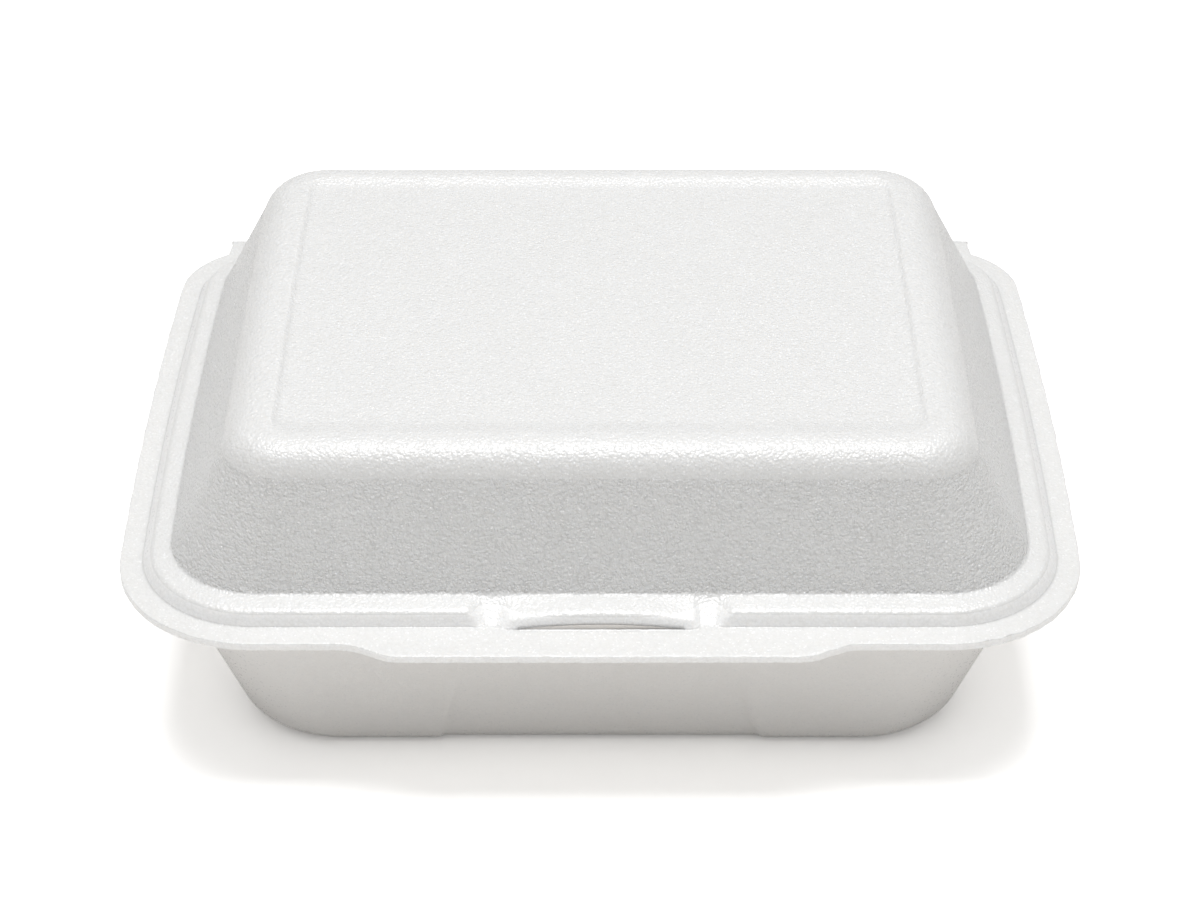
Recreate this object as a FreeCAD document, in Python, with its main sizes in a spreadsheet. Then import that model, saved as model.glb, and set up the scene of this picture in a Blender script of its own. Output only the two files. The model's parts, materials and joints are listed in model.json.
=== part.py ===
"""Hinged clamshell food container pressed from foam sheet.

Frame: millimetres, X across the front, Y from the front to the hinge at the back, Z up.
The origin is the centre of the tray's flat underside, below the centre of the rim.
The tray and the lid are the two halves of one pressed sheet, joined by a fold along the back.
"""
import FreeCAD, Part
import math
import os

import Sketcher

Vector = FreeCAD.Vector

SIZES = {
    # rim, seen from above
    "rim_half_width": 120.65,
    "rim_front": 91.75,
    "rim_back": 91.45,
    "rim_corner_front": 36.0,
    "rim_corner_back": 22.0,
    "side_arc": 1750.0,
    # foam sheet
    "flange": 2.2,
    "wall": 2.5,
    "seat_gap": 0.2,
    # tray
    "tray_height": 49.8,
    "tray_setback": 3.0,
    "tray_wall_half_width": 107.4,
    "tray_wall_front": 78.4,
    "tray_wall_back": 79.0,
    "tray_wall_corner": 23.0,
    "floor_half_width": 92.9,
    "floor_front": 67.5,
    "floor_back": 67.5,
    "floor_corner": 25.0,
    "floor_fillet": 8.7,
    "lip_rise": 3.2,
    "lip_gap": 0.8,
    "recess_half_width": 41.0,
    "recess_top_half_width": 33.0,
    "recess_height": 34.0,
    "recess_depth": 1.0,
    "tongue_half_width": 18.0,
    "tongue_gap": 0.35,
    "tongue_thickness": 2.0,
    # lid rim
    "bead_inset_side": 5.45,
    "bead_inset_front": 6.3,
    "bead_inset_back": 5.4,
    "bead_rise": 3.8,
    "bead_run_side": 4.2,
    "bead_run_front": 1.5,
    "bead_run_back": 2.0,
    "bead_hollow_inset": 1.54,
    "shelf_rise": 0.6,
    "shelf_side": 3.6,
    "shelf_front": 5.9,
    "shelf_back": 3.6,
    # lid dome
    "dome_height": 41.4,
    "dome_half_width": 88.5,
    "dome_front": 70.5,
    "dome_back": 68.8,
    "dome_corner_front": 11.0,
    "dome_corner_back": 14.0,
    "dome_side_arc": 6000.0,
    "dome_fillet": 9.0,
    "panel_depth": 1.2,
    "panel_half_width": 78.2,
    "panel_front": 57.1,
    "panel_back": 57.3,
    "panel_corner": 4.0,
    "panel_slope_side": 1.6,
    "panel_slope_ends": 3.6,
    # lifting tab on the lid's front edge
    "tab_reach": 4.75,
    "tab_half_width": 48.0,
    "tab_shoulder": 14.5,
    # hood and crescent slot
    "hood_half_width": 23.5,
    "hood_rise": 4.2,
    "hood_reach": 0.9,
    "slot_half_width": 20.5,
    "slot_rise": 1.55,
    "slot_sill": 0.1,
    # fold along the back
    "fold_half_width": 107.7,
    "fold_radius": 2.25,
    "fold_gap": 0.3,
    "leaf_reach": 1.6,
    "ridge_width": 1.8,
    "ridge_rise": 0.5,
    "ridge_inset": 0.6,
}

doc = FreeCAD.newDocument("clamshell")
sheet = doc.addObject("Spreadsheet::Sheet", "sizes")
for row, (alias, value) in enumerate(SIZES.items(), start=1):
    sheet.set("A%d" % row, alias)
    sheet.set("B%d" % row, str(value))
    sheet.setAlias("B%d" % row, alias)
doc.recompute()

# Heights closer than this count as one level
LEVEL_TOLERANCE = 1e-4

# Levels and edges that follow from the sizes
LEAF_BACK = "(sizes.rim_back + sizes.leaf_reach)"
AXIS_Y = "(%s + sizes.fold_gap + sizes.fold_radius)" % LEAF_BACK
AXIS_Z = "(sizes.tray_height + sizes.seat_gap / 2)"
LID_UNDER = "(sizes.tray_height + sizes.seat_gap)"
LID_TOP = "(%s + sizes.flange)" % LID_UNDER
SHELF_Z = "(%s + sizes.bead_rise)" % LID_TOP
FOOT_Z = "(%s + sizes.shelf_rise)" % SHELF_Z
DOME_Z = "(%s + sizes.dome_height)" % LID_TOP


def number(expression):
    """Value of an expression on the sheet."""
    result = sheet.evalExpression(expression)
    return float(getattr(result, "Value", result))


def origin_plane(body, role):
    for feature in body.Origin.OriginFeatures:
        if feature.Role == role:
            return feature
    raise ValueError(role)


def make_body(name):
    body = doc.addObject("PartDesign::Body", name)
    body.Label = name
    return body


def make_sketch(body, name, role="XY_Plane", offset="0"):
    """Sketch on an origin plane of the body, moved along the plane's own normal."""
    sketch = body.newObject("Sketcher::SketchObject", name)
    sketch.AttachmentSupport = [(origin_plane(body, role), "")]
    sketch.MapMode = "FlatFace"
    sketch.AttachmentOffset = FreeCAD.Placement(Vector(0, 0, number(offset)), FreeCAD.Rotation())
    sketch.setExpression("AttachmentOffset.Base.z", offset)
    return sketch


def bind(sketch, label, expression, *constraint):
    """Add a driving constraint whose value follows the sheet."""
    index = sketch.addConstraint(Sketcher.Constraint(*constraint, number(expression)))
    sketch.renameConstraint(index, label)
    sketch.setExpression("Constraints." + label, expression)


def make_outline(body, name, level, half_width, front, back, corner_front, corner_back, side_arc):
    """Closed outline: straight front and back, bowed sides, round corners."""
    sketch = make_sketch(body, name, offset=level)
    side = number(side_arc)
    centre_x = number(half_width) - side
    front_y = -number(front)
    back_y = number(back)
    corners = {}
    for key, end_y, radius in (("front", front_y, number(corner_front)), ("back", back_y, number(corner_back))):
        y = end_y - math.copysign(radius, end_y)
        x = centre_x + math.sqrt((side - radius) ** 2 - y ** 2)
        angle = math.atan2(y, x - centre_x)
        corners[key] = (x, y, radius, angle)
    xf, yf, rf, af = corners["front"]
    xb, yb, rb, ab = corners["back"]

    def arc(x, y, radius, start, end):
        circle = Part.Circle(Vector(x, y, 0), Vector(0, 0, 1), radius)
        return Part.ArcOfCircle(circle, start, end)

    half_turn = math.pi
    quarter = math.pi / 2
    geometry = [
        Part.LineSegment(Vector(-xf, front_y, 0), Vector(xf, front_y, 0)),
        arc(xf, yf, rf, -quarter, af),
        arc(centre_x, 0, side, af, ab),
        arc(xb, yb, rb, ab, quarter),
        Part.LineSegment(Vector(xb, back_y, 0), Vector(-xb, back_y, 0)),
        arc(-xb, yb, rb, quarter, half_turn - ab),
        arc(-centre_x, 0, side, half_turn - ab, half_turn - af),
        arc(-xf, yf, rf, half_turn - af, half_turn + quarter),
    ]
    sketch.addGeometry(geometry, False)
    for index in range(8):
        sketch.addConstraint(Sketcher.Constraint("Tangent", index, 2, (index + 1) % 8, 1))
    sketch.addConstraint(Sketcher.Constraint("Horizontal", 0))
    sketch.addConstraint(Sketcher.Constraint("Horizontal", 4))
    for index in (2, 6):
        sketch.addConstraint(Sketcher.Constraint("PointOnObject", index, 3, -1))
    sketch.addConstraint(Sketcher.Constraint("Equal", 1, 7))
    sketch.addConstraint(Sketcher.Constraint("Equal", 3, 5))
    sketch.addConstraint(Sketcher.Constraint("Equal", 2, 6))
    bind(sketch, "corner_front", corner_front, "Radius", 1)
    bind(sketch, "corner_back", corner_back, "Radius", 3)
    bind(sketch, "side", side_arc, "Radius", 2)
    bind(sketch, "front", front, "DistanceY", 0, 1, -1, 1)
    bind(sketch, "back", back, "DistanceY", -1, 1, 4, 1)
    centre = "%s - (%s)" % (side_arc, half_width)
    bind(sketch, "centre_right", centre, "DistanceX", 2, 3, -1, 1)
    bind(sketch, "centre_left", centre, "DistanceX", -1, 1, 6, 3)
    return sketch


def make_rectangle(body, name, role, offset, half_width, low, high):
    """Rectangle centred across the object, from low to high along the plane's second axis."""
    sketch = make_sketch(body, name, role, offset)
    x = number(half_width)
    points = [Vector(-x, number(low), 0), Vector(x, number(low), 0)]
    points += [Vector(x, number(high), 0), Vector(-x, number(high), 0)]
    sketch.addGeometry([Part.LineSegment(points[i], points[(i + 1) % 4]) for i in range(4)], False)
    for index in range(4):
        sketch.addConstraint(Sketcher.Constraint("Coincident", index, 2, (index + 1) % 4, 1))
        direction = "Horizontal" if index % 2 == 0 else "Vertical"
        sketch.addConstraint(Sketcher.Constraint(direction, index))
    bind(sketch, "left", half_width, "DistanceX", 0, 1, -1, 1)
    bind(sketch, "right", half_width, "DistanceX", -1, 1, 0, 2)
    bind(sketch, "low", low, "DistanceY", -1, 1, 0, 1)
    bind(sketch, "high", high, "DistanceY", -1, 1, 2, 1)
    return sketch


def make_arch(body, name, offset, half_width, low, rise):
    """Circular segment in an upright plane: a level chord with an arc above it."""
    sketch = make_sketch(body, name, "XZ_Plane", offset)
    half = number(half_width)
    height = number(rise)
    base = number(low)
    radius = (half ** 2 + height ** 2) / (2 * height)
    centre = Vector(0, base + height - radius, 0)
    reach = math.asin(half / radius)
    arc = Part.ArcOfCircle(Part.Circle(centre, Vector(0, 0, 1), radius), math.pi / 2 - reach, math.pi / 2 + reach)
    chord = Part.LineSegment(Vector(-half, base, 0), Vector(half, base, 0))
    sketch.addGeometry([chord, arc], False)
    sketch.addConstraint(Sketcher.Constraint("Coincident", 0, 2, 1, 1))
    sketch.addConstraint(Sketcher.Constraint("Coincident", 0, 1, 1, 2))
    sketch.addConstraint(Sketcher.Constraint("Horizontal", 0))
    bind(sketch, "left", half_width, "DistanceX", 0, 1, -1, 1)
    bind(sketch, "right", half_width, "DistanceX", -1, 1, 0, 2)
    bind(sketch, "low", low, "DistanceY", -1, 1, 0, 1)
    radius_rule = "((%s) ^ 2 + (%s) ^ 2) / (2 * (%s))" % (half_width, rise, rise)
    bind(sketch, "radius", radius_rule, "Radius", 1)
    return sketch


def pad(body, name, sketch, length, reverse=False):
    feature = body.newObject("PartDesign::Pad", name)
    feature.Profile = sketch
    feature.Length = number(length)
    feature.setExpression("Length", length)
    feature.Reversed = reverse
    return feature


def loft(body, name, kind, first, second):
    feature = body.newObject("PartDesign::" + kind, name)
    feature.Profile = first
    feature.Sections = [second]
    feature.Ruled = True
    return feature


def round_level_edges(body, name, level, radius):
    """Fillet on every edge of the body that lies at one height."""
    doc.recompute()
    base = body.Tip
    height = number(level)
    names = []
    for index, edge in enumerate(base.Shape.Edges, start=1):
        box = edge.BoundBox
        if abs(box.ZMin - height) < LEVEL_TOLERANCE and abs(box.ZMax - height) < LEVEL_TOLERANCE:
            names.append("Edge%d" % index)
    feature = body.newObject("PartDesign::Fillet", name)
    feature.Base = (base, names)
    feature.Radius = number(radius)
    feature.setExpression("Radius", radius)
    return feature


def rim_section(half_width_inset, front_inset, back_inset):
    """Outline that runs inside the rim by one inset on each side."""
    return (
        "sizes.rim_half_width - (%s)" % half_width_inset,
        "sizes.rim_front - (%s)" % front_inset,
        "sizes.rim_back - (%s)" % back_inset,
        "sizes.rim_corner_front - (%s)" % half_width_inset,
        "sizes.rim_corner_back - (%s) / 2" % half_width_inset,
        "sizes.side_arc",
    )


RIM = rim_section("0", "0", "0")
BEAD_LOW = rim_section("sizes.bead_inset_side", "sizes.bead_inset_front", "sizes.bead_inset_back")
BEAD_HIGH = rim_section(
    "sizes.bead_inset_side + sizes.bead_run_side",
    "sizes.bead_inset_front + sizes.bead_run_front",
    "sizes.bead_inset_back + sizes.bead_run_back",
)
FOOT = rim_section(
    "sizes.bead_inset_side + sizes.bead_run_side + sizes.shelf_side",
    "sizes.bead_inset_front + sizes.bead_run_front + sizes.shelf_front",
    "sizes.bead_inset_back + sizes.bead_run_back + sizes.shelf_back",
)
DOME = ("sizes.dome_half_width", "sizes.dome_front", "sizes.dome_back", "sizes.dome_corner_front",
        "sizes.dome_corner_back", "sizes.dome_side_arc")

# Corners inside a hollow shrink by only this share of the sheet's thickness
HOLLOW_CORNER_SHARE = "0.5"


def inward(section, distance, corner_share="1"):
    """The same outline, moved inward by one distance all round."""
    half_width, front, back, corner_front, corner_back, side_arc = section
    return (
        "%s - (%s)" % (half_width, distance),
        "%s - (%s)" % (front, distance),
        "%s - (%s)" % (back, distance),
        "%s - (%s) * %s" % (corner_front, distance, corner_share),
        "%s - (%s) * %s" % (corner_back, distance, corner_share),
        side_arc,
    )


def between(low, high, share):
    """Outline part of the way from a low section to a high one."""
    return tuple("((%s) * (1 - %s) + (%s) * %s)" % (a, share, b, share) for a, b in zip(low, high))


def build_lid():
    body = make_body("lid")
    pad(body, "lid_flange", make_outline(body, "lid_rim", LID_UNDER, *RIM), "sizes.flange")
    build_leaf(body, "lid_leaf", LID_UNDER, LEAF_BACK)
    build_tab(body)
    low = make_outline(body, "bead_low", LID_TOP, *BEAD_LOW)
    high = make_outline(body, "bead_high", SHELF_Z, *BEAD_HIGH)
    loft(body, "bead_slope", "AdditiveLoft", low, high)
    shelf = make_outline(body, "shelf_outer", SHELF_Z, *BEAD_HIGH)
    foot = make_outline(body, "shelf_inner", FOOT_Z, *FOOT)
    loft(body, "shelf", "AdditiveLoft", shelf, foot)
    foot = make_outline(body, "dome_foot", FOOT_Z, *FOOT)
    top = make_outline(body, "dome_top", DOME_Z, *DOME)
    loft(body, "dome", "AdditiveLoft", foot, top)
    round_level_edges(body, "dome_rollover", DOME_Z, "sizes.dome_fillet")
    build_panel(body)
    build_hood(body)
    hollow_lid(body)
    cut_slot(body)
    build_ridge(body)
    return body


def build_leaf(body, name, under, back):
    """Strip of flange that runs out to the fold, as wide as the fold."""
    outline = make_rectangle(body, name + "_outline", "XY_Plane", under, "sizes.fold_half_width",
                             "sizes.rim_back - sizes.bead_inset_back", back)
    pad(body, name, outline, "sizes.flange")


def build_tab(body):
    """Finger tab: a shallow widening of the front edge with S-shaped shoulders."""
    sketch = make_sketch(body, "tab_outline", offset=LID_UNDER)
    half = number("sizes.tab_half_width")
    shoulder = number("sizes.tab_shoulder")
    edge = -number("sizes.rim_front")
    tip = edge - number("sizes.tab_reach")
    inner = edge + number("sizes.bead_inset_front")
    radius = (shoulder ** 2 + (edge - tip) ** 2) / (4 * (edge - tip))
    turn = math.asin(shoulder / 2 / radius)
    outer = half + shoulder
    quarter = math.pi / 2

    def arc(x, y, start, end):
        return Part.ArcOfCircle(Part.Circle(Vector(x, y, 0), Vector(0, 0, 1), radius), start, end)

    sketch.addGeometry([
        Part.LineSegment(Vector(-half, tip, 0), Vector(half, tip, 0)),
        arc(half, tip + radius, -quarter, turn - quarter),
        arc(outer, edge - radius, quarter, quarter + turn),
        Part.LineSegment(Vector(outer, edge, 0), Vector(outer, inner, 0)),
        Part.LineSegment(Vector(outer, inner, 0), Vector(-outer, inner, 0)),
        Part.LineSegment(Vector(-outer, inner, 0), Vector(-outer, edge, 0)),
        arc(-outer, edge - radius, quarter - turn, quarter),
        arc(-half, tip + radius, -quarter - turn, -quarter),
    ], False)
    joints = [("Tangent", 0, 2, 1, 1), ("Tangent", 1, 2, 2, 2), ("Coincident", 2, 1, 3, 1)]
    joints += [("Coincident", 3, 2, 4, 1), ("Coincident", 4, 2, 5, 1), ("Coincident", 5, 2, 6, 2)]
    joints += [("Tangent", 6, 1, 7, 1), ("Tangent", 7, 2, 0, 1)]
    for joint in joints:
        sketch.addConstraint(Sketcher.Constraint(*joint))
    for index in (0, 4):
        sketch.addConstraint(Sketcher.Constraint("Horizontal", index))
    for index in (3, 5):
        sketch.addConstraint(Sketcher.Constraint("Vertical", index))
    for index in (2, 6, 7):
        sketch.addConstraint(Sketcher.Constraint("Equal", 1, index))
    bind(sketch, "left", "sizes.tab_half_width", "DistanceX", 0, 1, -1, 1)
    bind(sketch, "right", "sizes.tab_half_width", "DistanceX", -1, 1, 0, 2)
    bind(sketch, "tip", "sizes.rim_front + sizes.tab_reach", "DistanceY", 0, 1, -1, 1)
    bind(sketch, "inner", "sizes.rim_front - sizes.bead_inset_front", "DistanceY", 4, 1, -1, 1)
    bind(sketch, "edge_left", "sizes.rim_front", "DistanceY", 6, 2, -1, 1)
    bind(sketch, "edge_right", "sizes.rim_front", "DistanceY", 2, 1, -1, 1)
    bind(sketch, "shoulder_left", "sizes.tab_half_width + sizes.tab_shoulder", "DistanceX", 5, 1, -1, 1)
    bind(sketch, "shoulder_right", "sizes.tab_half_width + sizes.tab_shoulder", "DistanceX", -1, 1, 3, 1)
    pad(body, "tab", sketch, "sizes.flange")


def build_panel(body):
    """Shallow recess over most of the lid's top, with sloped sides."""
    floor = ("sizes.panel_half_width", "sizes.panel_front", "sizes.panel_back", "sizes.panel_corner",
             "sizes.panel_corner", "sizes.dome_side_arc")
    mouth = ("sizes.panel_half_width + sizes.panel_slope_side", "sizes.panel_front + sizes.panel_slope_ends",
             "sizes.panel_back + sizes.panel_slope_ends", "sizes.panel_corner + sizes.panel_slope_side",
             "sizes.panel_corner + sizes.panel_slope_side", "sizes.dome_side_arc")
    upper = make_outline(body, "panel_mouth", DOME_Z, *mouth)
    lower = make_outline(body, "panel_floor", "%s - sizes.panel_depth" % DOME_Z, *floor)
    loft(body, "panel", "SubtractiveLoft", upper, lower)


def build_hood(body):
    """Upright arched front over the slot, standing out of the bead."""
    plane = "sizes.rim_front - sizes.bead_inset_front + sizes.hood_reach"
    low = "%s - sizes.flange / 2" % LID_TOP
    rise = "sizes.hood_rise + sizes.flange / 2"
    arch = make_arch(body, "hood_front", plane, "sizes.hood_half_width", low, rise)
    pad(body, "hood", arch, "sizes.hood_reach + sizes.bead_run_front + sizes.shelf_front / 2", reverse=True)


def hollow_lid(body):
    """Underside: the bead's hollow and the dome's hollow, one sheet thickness inside the outer faces."""
    mouth = make_outline(body, "hollow_mouth", LID_UNDER, *inward(BEAD_LOW, "sizes.flange / 2"))
    bead = make_outline(body, "hollow_bead", "%s - sizes.flange" % SHELF_Z,
                        *inward(BEAD_HIGH, "sizes.bead_hollow_inset"))
    loft(body, "bead_hollow", "SubtractiveLoft", mouth, bead)
    low = make_outline(body, "hollow_foot", "%s - sizes.flange" % SHELF_Z, *inward(FOOT, "sizes.wall"))
    top = make_outline(body, "hollow_top", "%s - sizes.panel_depth - sizes.wall" % DOME_Z,
                       *inward(DOME, "sizes.wall", HOLLOW_CORNER_SHARE))
    loft(body, "dome_hollow", "SubtractiveLoft", low, top)
    round_level_edges(body, "hollow_rollover", "%s - sizes.panel_depth - sizes.wall" % DOME_Z,
                      "sizes.dome_fillet - sizes.wall")


def cut_slot(body):
    """Crescent slot through the hood, just above the flange."""
    plane = "sizes.rim_front - sizes.bead_inset_front + 2 * sizes.hood_reach"
    low = "%s + sizes.slot_sill" % LID_TOP
    crescent = make_arch(body, "slot_front", plane, "sizes.slot_half_width", low, "sizes.slot_rise")
    feature = body.newObject("PartDesign::Pocket", "slot")
    feature.Profile = crescent
    length = "2 * sizes.hood_reach + sizes.bead_run_front + sizes.shelf_front / 2"
    feature.Length = number(length)
    feature.setExpression("Length", length)
    feature.Reversed = False
    return feature


def build_ridge(body):
    """Low pressed ridge along the back flange, beside the fold."""
    high = "sizes.rim_back - sizes.ridge_inset"
    sketch = make_rectangle(body, "ridge_outline", "XY_Plane", LID_TOP,
                            "sizes.rim_half_width - sizes.rim_corner_back",
                            high + " - sizes.ridge_width", high)
    pad(body, "ridge", sketch, "sizes.ridge_rise")


TRAY_RIM = rim_section("sizes.tray_setback", "sizes.tray_setback", "0")
TRAY_WALL = ("sizes.tray_wall_half_width", "sizes.tray_wall_front", "sizes.tray_wall_back",
             "sizes.tray_wall_corner", "sizes.tray_wall_corner", "sizes.side_arc")
FLOOR = ("sizes.floor_half_width", "sizes.floor_front", "sizes.floor_back", "sizes.floor_corner",
         "sizes.floor_corner", "sizes.side_arc")


def build_tray():
    body = make_body("tray")
    under = "sizes.tray_height - sizes.flange"
    pad(body, "tray_flange", make_outline(body, "tray_rim", under, *TRAY_RIM), "sizes.flange")
    floor = make_outline(body, "floor", "0", *FLOOR)
    wall = make_outline(body, "wall_top", under, *TRAY_WALL)
    loft(body, "walls", "AdditiveLoft", floor, wall)
    round_level_edges(body, "floor_round", "0", "sizes.floor_fillet")
    build_lip(body)
    build_tongue(body)
    hollow_tray(body)
    cut_front_recess(body)
    build_fold(body)
    return body


def build_lip(body):
    """Raised lip inside the rim, which nests in the lid's bead."""
    low_inset = "sizes.flange / 2 + sizes.lip_gap"
    low = make_outline(body, "lip_low", "sizes.tray_height", *inward(BEAD_LOW, low_inset))
    share = "((sizes.lip_rise) / (sizes.bead_rise))"
    high_inset = "sizes.bead_hollow_inset + sizes.lip_gap"
    high = between(inward(BEAD_LOW, low_inset), inward(BEAD_HIGH, high_inset), share)
    top = make_outline(body, "lip_high", "sizes.tray_height + sizes.lip_rise", *high)
    loft(body, "lip", "AdditiveLoft", low, top)


def build_tongue(body):
    """Locking tongue on the front of the lip, behind the lid's slot."""
    front = "sizes.rim_front - sizes.bead_inset_front - sizes.bead_run_front - sizes.bead_hollow_inset"
    front = "-(%s - sizes.tongue_gap)" % front
    sketch = make_rectangle(body, "tongue_outline", "XY_Plane", "sizes.tray_height",
                            "sizes.tongue_half_width", front, front + " + sizes.tongue_thickness")
    pad(body, "tongue", sketch, "sizes.lip_rise")


def hollow_tray(body):
    mouth_level = "sizes.tray_height + sizes.lip_rise"
    mouth = make_outline(body, "tray_mouth", mouth_level, *inward(TRAY_WALL, "sizes.wall", HOLLOW_CORNER_SHARE))
    bottom = make_outline(body, "tray_hollow", "sizes.wall", *inward(FLOOR, "sizes.wall", HOLLOW_CORNER_SHARE))
    loft(body, "tray_cavity", "SubtractiveLoft", mouth, bottom)
    round_level_edges(body, "hollow_round", "sizes.wall", "sizes.floor_fillet - sizes.wall")


def cut_front_recess(body):
    """Shallow flat in the lower front wall that fades out upward."""
    share = "(sizes.recess_height / (sizes.tray_height - sizes.flange))"
    wall_there = "(sizes.floor_front + (sizes.tray_wall_front - sizes.floor_front) * %s)" % share
    low = make_rectangle(body, "recess_low", "XY_Plane", "0", "sizes.recess_half_width",
                         "-(sizes.floor_front + sizes.floor_fillet)", "-(sizes.floor_front - sizes.recess_depth)")
    high = make_rectangle(body, "recess_high", "XY_Plane", "sizes.recess_height", "sizes.recess_top_half_width",
                          "-(%s + sizes.floor_fillet)" % wall_there, "-" + wall_there)
    loft(body, "front_recess", "SubtractiveLoft", low, high)


def build_fold(body):
    """Rounded fold of the sheet along the back, which the lid turns about."""
    build_leaf(body, "tray_leaf", "sizes.tray_height - sizes.flange", AXIS_Y)
    sketch = make_sketch(body, "fold_section", "YZ_Plane", "-sizes.fold_half_width")
    centre = Vector(number(AXIS_Y), number(AXIS_Z), 0)
    sketch.addGeometry(Part.Circle(centre, Vector(0, 0, 1), number("sizes.fold_radius")), False)
    bind(sketch, "radius", "sizes.fold_radius", "Radius", 0)
    bind(sketch, "back", AXIS_Y, "DistanceX", -1, 1, 0, 3)
    bind(sketch, "height", AXIS_Z, "DistanceY", -1, 1, 0, 3)
    pad(body, "fold", sketch, "2 * sizes.fold_half_width")


def check(bodies):
    for item in doc.Objects:
        if "Invalid" in item.State or "Error" in item.State:
            raise RuntimeError("failed object: " + item.Name)
    for body in bodies:
        shape = body.Shape
        if shape.isNull() or not shape.isValid() or len(shape.Solids) != 1:
            raise RuntimeError("bad solid: " + body.Label)


def main():
    bodies = [build_tray(), build_lid()]
    doc.recompute()
    check(bodies)
    os.makedirs("parts", exist_ok=True)
    for body in bodies:
        body.Shape.exportStep("parts/%s.step" % body.Label)
        print(body.Label, "volume %.1f cm3" % (body.Shape.Volume / 1000), body.Shape.BoundBox)


main()
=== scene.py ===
"""Looks of a foam clamshell container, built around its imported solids.

Every piece is in metres in the part's own frame: X along the front edge, Y from the front to the
fold at the back, Z up from the tray's underside.
"""
import json
import math

import bmesh
import bpy
import numpy as np
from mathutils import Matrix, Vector


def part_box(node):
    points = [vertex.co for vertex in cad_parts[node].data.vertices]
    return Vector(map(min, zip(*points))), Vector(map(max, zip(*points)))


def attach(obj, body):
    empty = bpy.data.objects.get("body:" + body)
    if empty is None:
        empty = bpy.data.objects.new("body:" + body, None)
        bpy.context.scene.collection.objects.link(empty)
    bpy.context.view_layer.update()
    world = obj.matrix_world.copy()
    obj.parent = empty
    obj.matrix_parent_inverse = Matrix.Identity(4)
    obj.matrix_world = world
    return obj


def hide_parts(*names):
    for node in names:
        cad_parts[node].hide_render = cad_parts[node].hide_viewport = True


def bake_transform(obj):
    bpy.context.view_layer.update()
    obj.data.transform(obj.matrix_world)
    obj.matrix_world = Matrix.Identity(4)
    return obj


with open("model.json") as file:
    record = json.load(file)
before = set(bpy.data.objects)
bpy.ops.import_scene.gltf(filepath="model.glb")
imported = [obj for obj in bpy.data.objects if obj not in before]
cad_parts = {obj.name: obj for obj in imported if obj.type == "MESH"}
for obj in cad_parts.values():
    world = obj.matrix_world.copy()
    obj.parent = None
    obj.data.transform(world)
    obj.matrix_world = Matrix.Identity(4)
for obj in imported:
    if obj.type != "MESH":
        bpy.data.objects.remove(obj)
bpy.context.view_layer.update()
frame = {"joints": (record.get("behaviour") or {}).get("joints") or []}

bl_info = {
    "name": "Foam Clamshell Container",
    "version": (1, 0, 0),
    "blender": (4, 5, 0),
    "location": "3D View > Sidebar > Clamshell",
    "description": "Builds a pressed foam food container with a hinged lid",
    "category": "Object",
}

MM = 0.001
LID_LOW, LID_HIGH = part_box("lid")
TRAY_LOW, TRAY_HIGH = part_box("tray")
AXIS = Vector(frame["joints"][0]["pos_m"])


def length(name, description, default):
    return bpy.props.FloatProperty(
        name=name, description=description, default=default, unit="LENGTH", subtype="DISTANCE", precision=5
    )


def colour(name, description, default):
    return bpy.props.FloatVectorProperty(
        name=name, description=description, default=default, size=4, min=0, max=1, subtype="COLOR"
    )


class ClamshellRim(bpy.types.PropertyGroup):
    """Rim, flange and bead, as the lid and the tray share them"""

    half_width: length("Rim half width", "Middle of the rim to its side edge", LID_HIGH.x)
    front: length("Rim front", "Origin to the front edge beside the tab", 91.75 * MM)
    back: length("Rim back", "Origin to the pressed line at the back", 91.45 * MM)
    corner_front: length("Front corner", "Radius of the rim's front corners", 36 * MM)
    corner_back: length("Back corner", "Radius of the rim's back corners", 22 * MM)
    side_arc: length("Side arc", "Radius of the bowed sides", 1.75)
    sheet: length("Sheet", "Thickness of the pressed flange", 2.2 * MM)
    wall: length("Wall", "Thickness of the walls", 2.5 * MM)
    fold_half_width: length("Fold half width", "Half the length of the fold at the back", 107.7 * MM)
    cut_wander: length("Cut wander", "How far the trimmed edge wanders", 0.12 * MM)
    surface_wander: length("Surface wander", "How far the pressed faces wander", 0.16 * MM)


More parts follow.
